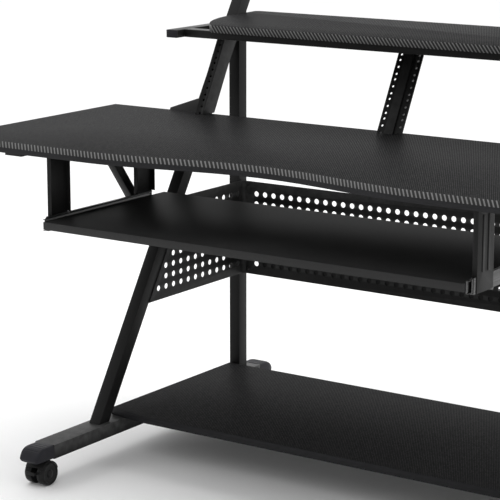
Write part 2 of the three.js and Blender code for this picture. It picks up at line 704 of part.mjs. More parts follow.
// Shaped about the axle, with the swivel stem standing CASTOR_TRAIL behind it (+Y).
const wheelProfile = [
  [0, WHEEL_OUTER_FACE], [WHEEL_RADIUS - 5, WHEEL_OUTER_FACE], [WHEEL_RADIUS - 1.5, WHEEL_OUTER_FACE - 1.5],
  [WHEEL_RADIUS, WHEEL_OUTER_FACE - 4], [WHEEL_RADIUS, WHEEL_INNER_FACE + 2],
  [WHEEL_RADIUS - 1.5, WHEEL_INNER_FACE], [AXLE_RADIUS + SLIP, WHEEL_INNER_FACE],
  [AXLE_RADIUS + SLIP, WHEEL_OUTER_FACE - 5], [0, WHEEL_OUTER_FACE - 5],
];

function wheel(side) {
  const points = wheelProfile.map(([radius, x]) => new THREE.Vector2(radius, x)).reverse();
  const geometry = new THREE.LatheGeometry(points, 24);
  return geometry.rotateZ(-side * Math.PI / 2);
}

const HOOD_RADIUS = WHEEL_RADIUS + 2.6;
const HOOD_METAL = 1.8;

function castorHousing() {
  const webHalf = WHEEL_INNER_FACE - 2;
  const hoodHalf = WHEEL_OUTER_FACE - 3;
  const hubRadius = 8;
  const web = prismAlongX(
    [[0, 0], ...arc(0, 0, HOOD_RADIUS - 0.5, -0.3, 2.2, 10)], -webHalf, webHalf,
  );
  const hood = prismAlongX([
    ...arc(0, 0, HOOD_RADIUS, 0.25, 2.55, 12),
    ...arc(0, 0, HOOD_RADIUS - HOOD_METAL, 2.55, 0.25, 12),
  ], -hoodHalf, hoodHalf);
  const stemBottom = HOOD_RADIUS * 0.3;
  const hub = rodAlongX(hubRadius, -webHalf, webHalf, 0, 0);
  const axleHalf = WHEEL_OUTER_FACE - 5 - SLIP;
  const axle = rodAlongX(AXLE_RADIUS, -axleHalf, axleHalf, 0, 0);
  const stem = rodAlongZ(STEM_RADIUS, 0, CASTOR_TRAIL, stemBottom, STEM_TOP - WHEEL_RADIUS);
  return joined(web, hood, hub, axle, stem);
}

function brakePedal() {
  const neckHalf = 3;
  const tabHalf = 11;
  const inner = 9.4;
  const outer = WHEEL_RADIUS + 12;
  const neck = block(-neckHalf, neckHalf, -outer + 3, -inner, -2, 2);
  const tab = block(-tabHalf, tabHalf, -outer, -WHEEL_RADIUS - 3.6, -2, 2);
  const toe = block(-tabHalf, tabHalf, -outer, -outer + 3, -2, 5);
  const geometry = joined(neck, tab, toe);
  return geometry.rotateX(-PEDAL_SWING * 0.3);
}

// ---- the two sides -------------------------------------------------------------------------

const stations = [
  { end: 'front', y: FOOT_FRONT + CASTOR_STEM_INSET - CASTOR_TRAIL, turn: 0 },
  { end: 'rear', y: FOOT_REAR - CASTOR_STEM_INSET + CASTOR_TRAIL, turn: Math.PI },
];

for (const [hand, side] of [['left', -1], ['right', 1]]) {
  const xA = Math.min(side * FRAME_INNER, side * FRAME_OUTER);
  const xB = Math.max(side * FRAME_INNER, side * FRAME_OUTER);
  const middle = side * FRAME_MIDDLE;

  const foot = new THREE.Group();
  foot.position.x = middle;
  desk.add(foot);
  place(`foot_tube_${hand}`, footTube(), 'steel', foot);
  place(`foot_cap_front_${hand}`, footCap(FOOT_FRONT, -1), 'plastic', foot);
  place(`foot_cap_rear_${hand}`, footCap(FOOT_REAR, 1), 'plastic', foot);

  place(`leg_${hand}`, leaningTube(FOOT_TOP + GAP, LEG_TOP, xA, xB), 'steel');
  place(`leg_cap_${hand}`, legCap(xA, xB), 'plastic');
  place(`rear_post_${hand}`, rearPost(xA, xB), 'steel');
  place(`desk_brace_${hand}`, brace(middle), 'steel');
  place(`desk_plate_${hand}`, deskPlate(side), 'steel');
  place(`overhang_bar_${hand}`, overhangBar(side), 'steel');
  place(`shelf_side_tube_${hand}`, shelfSideTube(xA, xB), 'steel');
  place(`shelf_tube_cap_${hand}`, shelfTubeCap(xA, xB), 'plastic');
  place(`side_panel_${hand}`, sidePanel(side), 'steel');
  place(`rack_rail_${hand}`, rackRail(side), 'steel');

  const outer = slideMember(
    side, SLIDE_INNER_X + 2 * SLIDE_METAL, slideOuterX, true, SLIDE_HEIGHT, SLIDE_FRONT,
  );
  place(`slide_outer_${hand}`, outer, 'slide');
  const middleFar = slideOuterX - SLIDE_METAL - SLIP;
  const middleHeight = SLIDE_HEIGHT - slideStep;
  const mid = slideMember(
    side, SLIDE_INNER_X + 2 * SLIDE_METAL, middleFar, true, middleHeight, SLIDE_FRONT - 4,
  );
  place(`slide_middle_${hand}`, mid, 'slide');
  const innerFar = middleFar - SLIDE_METAL - SLIP;
  const innerHeight = middleHeight - slideStep;
  const inner = slideMember(side, SLIDE_INNER_X, innerFar, false, innerHeight, SLIDE_FRONT - 14);
  place(`slide_inner_${hand}`, inner, 'slide');

  place(`hanger_front_${hand}`, hanger(side, HANGER_FRONT), 'steel');
  place(`hanger_rear_${hand}`, hanger(side, HANGER_FRONT + HANGER_SPACING), 'steel');

  for (const { end, y, turn } of stations) {
    const castor = new THREE.Group();
    castor.position.set(middle, y, WHEEL_RADIUS);
    castor.rotation.z = turn;
    desk.add(castor);
    place(`castor_housing_${end}_${hand}`, castorHousing(), 'plastic', castor);
    place(`wheel_inside_${end}_${hand}`, wheel(-side * Math.cos(turn)), 'wheel', castor);
    place(`wheel_outside_${end}_${hand}`, wheel(side * Math.cos(turn)), 'wheel', castor);
    if (end === 'front') place(`brake_pedal_${hand}`, brakePedal(), 'plastic', castor);
  }
}

// The finished desk stands with the middle of its footprint at the origin.
const frontmost = FOOT_FRONT - FOOT_CAP_LENGTH;
const rearmost = FOOT_REAR + FOOT_CAP_LENGTH;
desk.position.y = -(frontmost + rearmost) / 2;

export default desk;
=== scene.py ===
# %% [markdown]
# # A computer desk with a keyboard tray
# The desk stands on castors. Two leaning steel side frames carry a scooped desktop, a tray that
# slides out from under it, a lower shelf, an upper shelf and a perforated steel guard. Its working
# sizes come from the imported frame, so everything made here starts from those bodies and nodes.

# %% Load the frame
import json
import math

import bmesh
import bpy
from mathutils import Matrix, Vector


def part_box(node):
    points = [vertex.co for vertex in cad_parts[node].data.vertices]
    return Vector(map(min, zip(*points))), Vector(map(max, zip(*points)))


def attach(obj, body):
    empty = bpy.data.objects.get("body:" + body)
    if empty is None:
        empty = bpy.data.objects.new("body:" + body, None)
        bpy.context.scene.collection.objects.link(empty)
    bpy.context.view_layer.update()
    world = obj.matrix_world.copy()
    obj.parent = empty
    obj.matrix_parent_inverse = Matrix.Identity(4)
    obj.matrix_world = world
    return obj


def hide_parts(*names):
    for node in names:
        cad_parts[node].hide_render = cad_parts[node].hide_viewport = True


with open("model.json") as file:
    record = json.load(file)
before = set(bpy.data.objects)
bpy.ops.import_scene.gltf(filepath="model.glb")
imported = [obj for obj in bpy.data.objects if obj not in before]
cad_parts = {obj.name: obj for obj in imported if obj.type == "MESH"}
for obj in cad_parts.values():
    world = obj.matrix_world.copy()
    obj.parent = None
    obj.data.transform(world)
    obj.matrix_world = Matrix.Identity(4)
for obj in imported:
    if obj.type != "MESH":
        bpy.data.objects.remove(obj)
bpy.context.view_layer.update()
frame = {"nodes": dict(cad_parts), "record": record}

MM = 0.001
print("nodes in the frame:", len(frame["nodes"]))

# %% [markdown]
# Every piece must ride on the body that its node belongs to, and take its finish from the slot
# that the record gives that node. Two small dictionaries made from the record answer both
# questions by name, which is safer than writing the names out again beside each piece.

# %% Who rides on what
body_of = {node: body for body, nodes in frame["record"]["behaviour"]["bodies"].items() for node in nodes}
slot_of = {part["node"]: part["material_slot"] for part in frame["record"]["subparts"]}
hands = ("left", "right")
ends = ("front", "rear")
print("bodies:", len(set(body_of.values())), "slots:", sorted(set(slot_of.values())))


def low(node):
    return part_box(node)[0]


def high(node):
    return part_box(node)[1]


# %% [markdown]
# The camera looks at the desk from its right front, a little above the upper shelf, through a long
# lens. It could be aimed with a constraint, but a matrix built from the turn and the pitch
# says plainly where each axis points, and nothing moves it afterwards.

# %% Camera
CAMERA_TURN = math.radians(34.519)
CAMERA_PITCH = math.radians(12.27)
CAMERA_PLACE = Vector((2.12346, -3.45778, 1.37417))
CAMERA_LENS = 144.81

camera_right = Vector((math.cos(CAMERA_TURN), math.sin(CAMERA_TURN), 0))
camera_forward = Vector((
    -math.sin(CAMERA_TURN) * math.cos(CAMERA_PITCH),
    math.cos(CAMERA_TURN) * math.cos(CAMERA_PITCH),
    -math.sin(CAMERA_PITCH),
))
camera_up = camera_right.cross(camera_forward)
camera_data = bpy.data.cameras.new("camera")
camera_data.lens = CAMERA_LENS
camera_data.sensor_width = 36.0
camera_data.clip_end = 200.0
camera = bpy.data.objects.new("camera", camera_data)
bpy.context.scene.collection.objects.link(camera)
camera.matrix_world = Matrix((
    (camera_right.x, camera_up.x, -camera_forward.x, CAMERA_PLACE.x),
    (camera_right.y, camera_up.y, -camera_forward.y, CAMERA_PLACE.y),
    (camera_right.z, camera_up.z, -camera_forward.z, CAMERA_PLACE.z),
    (0, 0, 0, 1),
))
bpy.context.scene.camera = camera
print("camera distance from the origin:", round(CAMERA_PLACE.length, 2), "m")

# %% [markdown]
# Black furniture is all about soft reflections. A wide ceiling panel brightens the tops, a
# smaller one at the right rear grazes the right hand faces, and the surroundings are dimmer in
# front than behind, so that each square tube shows two tones.

# %% Light
def soft_panel(name, place, target, size, power):
    light = bpy.data.lights.new(name, "AREA")
    light.shape = "RECTANGLE"
    light.size, light.size_y = size
    light.energy = power
    panel = bpy.data.objects.new(name, light)
    bpy.context.scene.collection.objects.link(panel)
    aim = (Vector(target) - Vector(place)).to_track_quat("-Z", "Y")
    panel.matrix_world = Matrix.Translation(place) @ aim.to_matrix().to_4x4()
    return panel


CEILING_WATTS, RIGHT_REAR_WATTS = 70, 60
SURROUNDINGS_IN_FRONT, SURROUNDINGS_BEHIND = 0.7, 1.3

soft_panel("ceiling_panel", (-0.6, 0.2, 4.2), (0, 0, 0.4), (5.0, 5.0), CEILING_WATTS)
soft_panel("right_rear_panel", (4.2, 2.6, 2.6), (0, 0, 0.7), (2.4, 2.4), RIGHT_REAR_WATTS)

world = bpy.data.worlds.new("studio")
bpy.context.scene.world = world
world.use_nodes = True
sky = world.node_tree
around = sky.nodes.new("ShaderNodeTexCoord")
split = sky.nodes.new("ShaderNodeSeparateXYZ")
level = sky.nodes.new("ShaderNodeMapRange")
sky.links.new(around.outputs["Generated"], split.inputs["Vector"])
sky.links.new(split.outputs["Y"], level.inputs["Value"])
level.inputs["From Min"].default_value = -0.9
level.inputs["From Max"].default_value = 0.3
level.inputs["To Min"].default_value = SURROUNDINGS_IN_FRONT
level.inputs["To Max"].default_value = SURROUNDINGS_BEHIND
sky.links.new(level.outputs["Result"], sky.nodes["Background"].inputs["Strength"])
sky.nodes["Background"].inputs["Color"].default_value = (1.0, 1.0, 1.0, 1.0)
bpy.context.scene.view_settings.view_transform = "Standard"
print("panels of", CEILING_WATTS, "and", RIGHT_REAR_WATTS, "W")


# %% [markdown]
# The node trees below are all wired by one helper: it makes a node, sets its plain settings, and
# links or fills its sockets. Writing it once keeps each finish down to the few lines that say
# what is special about it.

# %% Node helper
def add(material, kind, sockets=None, **settings):
    node = material.node_tree.nodes.new(kind)
    for key, value in settings.items():
        setattr(node, key, value)
    for key, value in (sockets or {}).items():
        if isinstance(value, bpy.types.NodeSocket):
            material.node_tree.links.new(value, node.inputs[key])
        else:
            node.inputs[key].default_value = value
    return node


def grey(value, blue=1.0):
    return (value, value, value * blue, 1.0)


def ramp(material, factor, stops):
    node = add(material, "ShaderNodeValToRGB", {"Fac": factor})
    elements = node.color_ramp.elements
    elements[0].position, elements[0].color = stops[0]
    elements[1].position, elements[1].color = stops[-1]
    for position, colour in stops[1:-1]:
        elements.new(position).color = colour
    return node.outputs["Color"]


def noise(material, coordinates, scale, detail=2.0):
    sockets = {"Vector": coordinates, "Scale": scale, "Detail": detail}
    return add(material, "ShaderNodeTexNoise", sockets).outputs["Fac"]


def math_node(material, operation, a, b=0.0):
    return add(material, "ShaderNodeMath", {0: a, 1: b}, operation=operation).outputs["Value"]


def start(name, metallic=0.0, specular=0.11):
    material = bpy.data.materials.new(name)
    material.use_nodes = True
    shader = material.node_tree.nodes["Principled BSDF"]
    shader.inputs["Metallic"].default_value = metallic
    shader.inputs["Specular IOR Level"].default_value = specular
    coordinates = add(material, "ShaderNodeTexCoord").outputs["Object"]
    return material, shader, coordinates


def connect(material, shader, colour=None, roughness=None, height=None, bump=0.0002, strength=0.5):
    links = material.node_tree.links
    if colour is not None:
        links.new(colour, shader.inputs["Base Color"])
    if roughness is not None:
        links.new(roughness, shader.inputs["Roughness"])
    if height is not None:
        node = add(material, "ShaderNodeBump", {"Height": height, "Distance": bump, "Strength": strength})
        links.new(node.outputs["Normal"], shader.inputs["Normal"])


def spread(material, factor, lowest, highest):
    sockets = {"Value": factor, "To Min": lowest, "To Max": highest}
    return add(material, "ShaderNodeMapRange", sockets).outputs["Result"]


def mixed(material, factor, first, second):
    node = add(material, "ShaderNodeMix", {"Factor": factor}, data_type="RGBA")
    for socket, value in ((node.inputs[6], first), (node.inputs[7], second)):
        if isinstance(value, bpy.types.NodeSocket):
            material.node_tree.links.new(value, socket)
        else:
            socket.default_value = value
    return node.outputs[2]


# %% [markdown]
# Powder coat on steel tube is never quite flat: it has a fine orange peel about a millimetre
# across and slow clouds of gloss. Thin bright lines along the edges are a painted highlight.
# Pointiness finds those edges from the mesh itself, so the painted highlight stays put from every side.

# %% Powder coated steel
# Brightness of the painted edge highlight on the coat:
EDGE_HIGHLIGHT_TONE = 9.0     # times the tone of the coat


def powder_coat(name, tone, peel_scale=900.0):
    material, shader, where = start(name)
    clouds = noise(material, where, 9.0, 3.0)
    peel = noise(material, where, peel_scale, 2.0)
    specks = noise(material, where, 2600.0, 1.0)
    base = ramp(material, clouds, [(0.3, grey(tone * 0.93)), (0.7, grey(tone * 1.08))])
    sharp = add(material, "ShaderNodeNewGeometry").outputs["Pointiness"]
    # Painted highlight: the colour is lightened along sharp bevelled edges, broken up by a noise.
    painted_edge_highlight = ramp(material, sharp, [(0.55, grey(0.0)), (0.63, grey(1.0))])
    patchy_edge_highlight = math_node(material, "MULTIPLY", painted_edge_highlight, noise(material, where, 60.0, 2.0))
    colour = mixed(material, patchy_edge_highlight, base, grey(tone * EDGE_HIGHLIGHT_TONE))
    gloss = spread(material, specks, 0.34, 0.48)
    connect(material, shader, colour, gloss, peel, bump=0.00016, strength=0.55)
    return material


frame_coat = powder_coat("black_powder_coat", 0.009)
guard_coat = powder_coat("guard_powder_coat", 0.007, 1200.0)
print("made", frame_coat.name, "and", guard_coat.name)


# %% [markdown]
# The tops are particle board under a black laminate printed and pressed like carbon cloth: short
# slanting dashes in staggered rows, each under a centimetre long. A brick pattern turned round has
# just that layout, and its mortar lines double as the height of the weave.

# %% Woven laminate
WEAVE_LENGTH = 8.4 * MM
WEAVE_WIDTH = 3.4 * MM
WEAVE_GAP = 0.8 * MM
WEAVE_TURN = math.radians(62)


def woven_laminate(name, dark, light):
    material, shader, where = start(name, specular=0.004)
    turned = add(material, "ShaderNodeMapping", {"Vector": where, "Rotation": (0, 0, WEAVE_TURN)})
    weave = add(material, "ShaderNodeTexBrick", {
        "Vector": turned.outputs["Vector"], "Color1": grey(light), "Color2": grey(light * 0.6, 1.04),
        "Mortar": grey(dark), "Scale": 1.0, "Mortar Size": WEAVE_GAP, "Mortar Smooth": 0.6,
        "Brick Width": WEAVE_LENGTH, "Row Height": WEAVE_WIDTH,
    }, offset=0.5)
    clouds = noise(material, where, 5.0, 3.0)
    dulled = spread(material, clouds, 0.0, 0.3)
    colour = mixed(material, dulled, weave.outputs["Color"], grey(light * 0.5, 1.05))
    gloss = spread(material, weave.outputs["Fac"], 0.42, 0.62)
    height = math_node(material, "SUBTRACT", 1.0, weave.outputs["Fac"])
    connect(material, shader, colour, gloss, height, bump=0.00025, strength=0.6)
    return material


top_laminate = woven_laminate("woven_laminate", 0.009, 0.042)
print("weave of", WEAVE_LENGTH / MM, "by", WEAVE_WIDTH / MM, "mm")


# %% [markdown]
# The shaped front edges are wrapped in a foil with fine slanting ribs that catch the light, and
# the square edges carry a plain black band. The ribs are a sine of the distance along the edge
# plus the height, which leans them over without any mapping.

# %% Edge foil and edge band
def ribbed_foil(name, pitch, dark, light):
    material, shader, where = start(name)
    split = add(material, "ShaderNodeSeparateXYZ", {"Vector": where})
    slant = math_node(material, "MULTIPLY", split.outputs["Z"], 0.75)
    along = math_node(material, "ADD", split.outputs["X"], slant)
    wave = math_node(material, "SINE", math_node(material, "MULTIPLY", along, 2 * math.pi / pitch))
    wobble = noise(material, where, 300.0, 2.0)
    level = math_node(material, "ADD", wave, math_node(material, "MULTIPLY", wobble, 0.6))
    colour = ramp(material, spread(material, level, 0.0, 1.0), [(0.45, grey(dark)), (0.9, grey(light))])
    connect(material, shader, colour, spread(material, wobble, 0.3, 0.5), level, bump=0.0002, strength=0.4)
    return material


def edge_band(name, tone):
    material, shader, where = start(name)
    grain = noise(material, where, 700.0, 3.0)
    streaks = add(material, "ShaderNodeMapping", {"Vector": where, "Scale": (14.0, 300.0, 300.0)})
    drawn = noise(material, streaks.outputs["Vector"], 3.0, 2.0)
    colour = ramp(material, drawn, [(0.3, grey(tone * 0.8, 1.08)), (0.7, grey(tone * 1.25, 1.08))])
    connect(material, shader, colour, spread(material, grain, 0.38, 0.58), grain, bump=0.0001)
    return material


front_foil = ribbed_foil("ribbed_edge_foil", 8.6 * MM, 0.018, 0.15)
plain_band = edge_band("black_edge_band", 0.016)
tray_band = ribbed_foil("tray_edge_foil", 3.4 * MM, 0.012, 0.05)
print("made", front_foil.name + ",", plain_band.name, "and", tray_band.name)


# %% [markdown]
# The tray's top is a smoother, darker laminate for the mouse: only a faint pebble shows. The
# underside of each board is a dull backing paper.

# %% Tray laminate and backing
def smooth_laminate(name, tone, low_gloss, high_gloss):
    material, shader, where = start(name, specular=0.01)
    pebble = noise(material, where, 1300.0, 2.0)
    clouds = noise(material, where, 6.0, 4.0)
    colour = ramp(material, clouds, [(0.3, grey(tone * 0.85)), (0.7, grey(tone * 1.18))])
    connect(material, shader, colour, spread(material, pebble, low_gloss, high_gloss), pebble, bump=0.00012)
    return material


tray_laminate = smooth_laminate("tray_laminate", 0.016, 0.42, 0.6)
backing_paper = smooth_laminate("backing_paper", 0.014, 0.7, 0.9)
print("made", tray_laminate.name, "and", backing_paper.name)


# %% [markdown]
# Moulded plastic has a spark-eroded grain, which is a fine cell pattern more than a noise. The
# caps are a slightly blue grey black; the castors are plain black nylon with a glossier tread.

# %% Moulded plastics
def moulded(name, tone, blue, low_gloss, high_gloss, grain_scale):
    material, shader, where = start(name)
    cells = add(material, "ShaderNodeTexVoronoi", {"Vector": where, "Scale": grain_scale}).outputs["Distance"]
    clouds = noise(material, where, 25.0, 3.0)
    colour = ramp(material, clouds, [(0.3, grey(tone * 0.85, blue)), (0.7, grey(tone * 1.2, blue))])
    gloss = spread(material, clouds, low_gloss, high_gloss)
    connect(material, shader, colour, gloss, cells, bump=0.00012, strength=0.5)
    return material


cap_plastic = moulded("cap_plastic", 0.017, 1.2, 0.42, 0.56, 1500.0)
castor_plastic = moulded("castor_nylon", 0.016, 1.0, 0.4, 0.55, 1200.0)
wheel_plastic = moulded("wheel_nylon", 0.012, 1.0, 0.24, 0.36, 2000.0)
print("made", cap_plastic.name + ",", castor_plastic.name, "and", wheel_plastic.name)


# %% [markdown]
# The slides are zinc plated and passivated black. Rolling leaves long fine scratches that run the
# way the metal was drawn, so the noise is squeezed along Y.

# %% Slide steel and screws
def drawn_steel(name, tone, metallic, low_gloss, high_gloss):
    material, shader, where = start(name, metallic=metallic)
    stretched = add(material, "ShaderNodeMapping", {"Vector": where, "Scale": (900.0, 12.0, 900.0)})
    lines = noise(material, stretched.outputs["Vector"], 1.0, 3.0)
    colour = ramp(material, lines, [(0.3, grey(tone * 0.7)), (0.7, grey(tone * 1.3))])
    connect(material, shader, colour, spread(material, lines, low_gloss, high_gloss), lines, bump=0.00005)
    return material


slide_metal = drawn_steel("slide_steel", 0.09, 0.9, 0.22, 0.4)
screw_metal = drawn_steel("screw_steel", 0.05, 0.8, 0.25, 0.4)
finish_of = {
    "board_laminate": top_laminate, "frame_steel": frame_coat, "slide_steel": slide_metal,
    "cap_plastic": cap_plastic, "castor_plastic": castor_plastic, "wheel_plastic": wheel_plastic,
}
print("finishes by slot:", len(finish_of))


# %% [markdown]
# A real tube or board has no knife edges. Most CAD nodes already have the right shape, so the
# quickest honest piece is a copy of the node with its flat faces merged and its edges rounded by
# a bevel. The copy then stands for the node, on the same body and with the same slot.

# %% Pieces and meshes
def link_piece(name, mesh, body, materials):
    piece = bpy.data.objects.new(name, mesh)
    bpy.context.scene.collection.objects.link(piece)
    for material in materials:
        mesh.materials.append(material)
    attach(piece, body)
    return piece


def settle(mesh, angle=35.0):
    for polygon in mesh.polygons:
        polygon.use_smooth = True
    mesh.set_sharp_from_angle(angle=math.radians(angle))


def mesh_from(work, name):
    bmesh.ops.recalc_face_normals(work, faces=work.faces)
    mesh = bpy.data.meshes.new(name)
    work.to_mesh(mesh)
    work.free()
    return mesh


def skin_rings(work, rings):
    for a, b in zip(rings, rings[1:]):
        for k in range(len(a)):
            n = (k + 1) % len(a)
            work.faces.new((a[k], a[n], b[n], b[k]))
    work.faces.new(rings[0])
    work.faces.new(rings[-1])


# %% [markdown]
# A copied node starts with many small triangles. Points that coincide are welded and flat
# neighbours are merged first, so that the bevel meets only real corners and can round them
# evenly. It is applied at once, which leaves a plain mesh.

# %% Rounded copies of nodes
def rounded_mesh(node, width, segments=2, merge_flats=True):
    mesh = bpy.data.meshes.new(node + "_mesh")
    work = bmesh.new()
    work.from_mesh(frame["nodes"][node].data)
    bmesh.ops.remove_doubles(work, verts=work.verts, dist=2e-6)
    if merge_flats:
        bmesh.ops.dissolve_limit(work, angle_limit=math.radians(0.8), verts=work.verts, edges=work.edges)
    work.normal_update()
    work.to_mesh(mesh)
    work.free()
    for layer in [attribute.name for attribute in mesh.attributes if attribute.name == "custom_normal"]:
        mesh.attributes.remove(mesh.attributes[layer])
    helper = bpy.data.objects.new(node + "_helper", mesh)
    bpy.context.scene.collection.objects.link(helper)
    bevel = helper.modifiers.new("rounding", "BEVEL")
    bevel.width = width
    bevel.segments = segments
    bevel.limit_method = "ANGLE"
    bevel.angle_limit = math.radians(28)
    bevel.use_clamp_overlap = True
    seen = helper.evaluated_get(bpy.context.evaluated_depsgraph_get())
    rounded = bpy.data.meshes.new_from_object(seen)
    rounded.materials.clear()
    bpy.data.objects.remove(helper)
    settle(rounded)
    return rounded


def rounded_piece(node, width, materials=None, segments=2, merge_flats=True):
    mesh = rounded_mesh(node, width, segments, merge_flats)
    slot = slot_of[node]
    piece = link_piece(node + "_piece", mesh, body_of[node], materials or [finish_of[slot]])
    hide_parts(node)
    return piece


# %% [markdown]
# The steel tubes, braces and brackets all go through the same rounding. Rolled tube has corners
# of about a millimetre and a half, and folded sheet has much tighter ones. Drilled tubes keep
# their triangles, because merging flats round a hole would leave faces that wrap it.

# %% Steel frame pieces
tube_nodes = [f"{part}_{hand}" for hand in hands for part in (
    "foot_tube", "leg", "rear_post", "desk_brace", "shelf_side_tube")]
tube_nodes += ["desk_rear_rail", "shelf_front_rail", "shelf_rear_rail", "guard_rail"]
for node in tube_nodes:
    rounded_piece(node, 1.3 * MM, segments=3)
sheet_nodes = [f"{part}_{hand}" for hand in hands for part in (
    "desk_plate", "overhang_bar", "hanger_front", "hanger_rear")]
for node in sheet_nodes:
    rounded_piece(node, 0.4 * MM)
for node in ["centre_divider", "rack_rail_left", "rack_rail_right"]:
    rounded_piece(node, 0.3 * MM, merge_flats=False)
for hand in hands:
    for part in ("slide_outer", "slide_middle", "slide_inner"):
        rounded_piece(f"{part}_{hand}", 0.25 * MM)
    for part in ("leg_cap", "shelf_tube_cap"):
        rounded_piece(f"{part}_{hand}", 1.0 * MM, segments=3)
print("rounded", len(tube_nodes) + len(sheet_nodes) + 3, "steel pieces")


# %% [markdown]
# Each board is one slab wearing several skins: woven top, ribbed foil on the shaped front, plain
# band on the square edges and paper below. The skin of a face follows from the way it points,
# so a short rule paints the whole board after its edges are rounded.

# %% Boards
def paint_board(mesh, foil_on):
    top, foil, band, paper = range(4)
    for polygon in mesh.polygons:
        facing = polygon.normal
        if facing.z > 0.9:
            polygon.material_index = top
        elif facing.z < -0.9:
            polygon.material_index = paper
        elif foil_on == "slope" and facing.z > 0.25 and facing.y < -0.2:
            polygon.material_index = foil
        elif foil_on == "edge" and facing.y < -0.2:
            polygon.material_index = foil
        else:
            polygon.material_index = band


board_skins = {
    "desktop": (top_laminate, front_foil, "slope"),
    "upper_shelf_board": (top_laminate, front_foil, "edge"),
    "lower_shelf_board": (top_laminate, plain_band, "edge"),
    "keyboard_tray_board": (tray_laminate, tray_band, "edge"),
}
for node, (face_skin, front_skin, foil_on) in board_skins.items():
    board = rounded_piece(node, 0.9 * MM, [face_skin, front_skin, plain_band, backing_paper], segments=2)
    paint_board(board.data, foil_on)
print("boards:", ", ".join(board_skins))


# %% [markdown]
# The guard at the back is thin sheet steel punched with rows of round holes. Cutting hundreds of
# holes with booleans is slow and fragile. A flat filled curve takes an outline and any number
# of circles, fills the metal between them, and gives it a thickness, all in one step.

# %% Punched sheet helper
HOLE_RADIUS = 6.25 * MM
HOLE_SIDES = 20


def punched_sheet(name, outline, holes, thickness, to_world):
    curve = bpy.data.curves.new(name, "CURVE")
    curve.dimensions = "2D"
    curve.fill_mode = "BOTH"
    curve.extrude = thickness / 2

    def ring(points):
        spline = curve.splines.new("POLY")
        spline.points.add(len(points) - 1)
        for point, (u, v) in zip(spline.points, points):
            point.co = (u, v, 0, 1)
        spline.use_cyclic_u = True

    ring(outline)
    for u, v in holes:
        turns = [2 * math.pi * i / HOLE_SIDES for i in range(HOLE_SIDES)]
        ring([(u + HOLE_RADIUS * math.cos(a), v + HOLE_RADIUS * math.sin(a)) for a in turns])
    helper = bpy.data.objects.new(name + "_curve", curve)
    bpy.context.scene.collection.objects.link(helper)
    seen = helper.evaluated_get(bpy.context.evaluated_depsgraph_get())
    mesh = bpy.data.meshes.new_from_object(seen)
    bpy.data.objects.remove(helper)
    mesh.transform(to_world)
    work = bmesh.new()
    work.from_mesh(mesh)
    bmesh.ops.remove_doubles(work, verts=work.verts, dist=1e-6)
    bmesh.ops.recalc_face_normals(work, faces=work.faces)
    work.to_mesh(mesh)
    work.free()
    mesh.materials.clear()
    settle(mesh, 30)
    return mesh


# %% [markdown]
# The rear sheet has eight rows of holes on an even pitch, counted from the top edge down and from
# the middle outwards so that both ends finish alike. The side sheets use the same rows, and
# their columns stop where the slanted front edge, which follows the leg, would cut a hole.

# %% Guard sheets
HOLE_ROWS = 8
HOLE_PITCH = 23.61 * MM
SIDE_PITCH = 27.8 * MM
TOP_ROW_DROP = 28.4 * MM
HOLE_MARGIN = 10 * MM
SLANT_MARGIN = HOLE_MARGIN + HOLE_RADIUS * 0.6
FIRST_COLUMN_INSET = 14 * MM     # from the start of the rear bend
BEND_STEPS = 10

rear_low, rear_high = low("rear_panel"), high("rear_panel")
row_heights = [rear_high.z - TOP_ROW_DROP - i * HOLE_PITCH for i in range(HOLE_ROWS)]
column_count = int((rear_high.x - HOLE_MARGIN) / HOLE_PITCH - 0.5) + 1
columns = [side * (i + 0.5) * HOLE_PITCH for i in range(column_count) for side in (-1, 1)]
rear_thickness = rear_high.y - rear_low.y
rear_outline = [
    (rear_low.x, rear_low.z), (rear_high.x, rear_low.z),
    (rear_high.x, rear_high.z), (rear_low.x, rear_high.z),
]
upright_x = Matrix(((1, 0, 0, 0), (0, 0, -1, (rear_low.y + rear_high.y) / 2), (0, 1, 0, 0), (0, 0, 0, 1)))
rear_mesh = punched_sheet("rear_guard", rear_outline, [(x, z) for x in columns for z in row_heights],
                          rear_thickness, upright_x)
rear_guard = link_piece("rear_guard", rear_mesh, "frame", [guard_coat])
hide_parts("rear_panel")
print("rear guard:", len(columns), "columns,", len(rear_mesh.polygons), "faces")


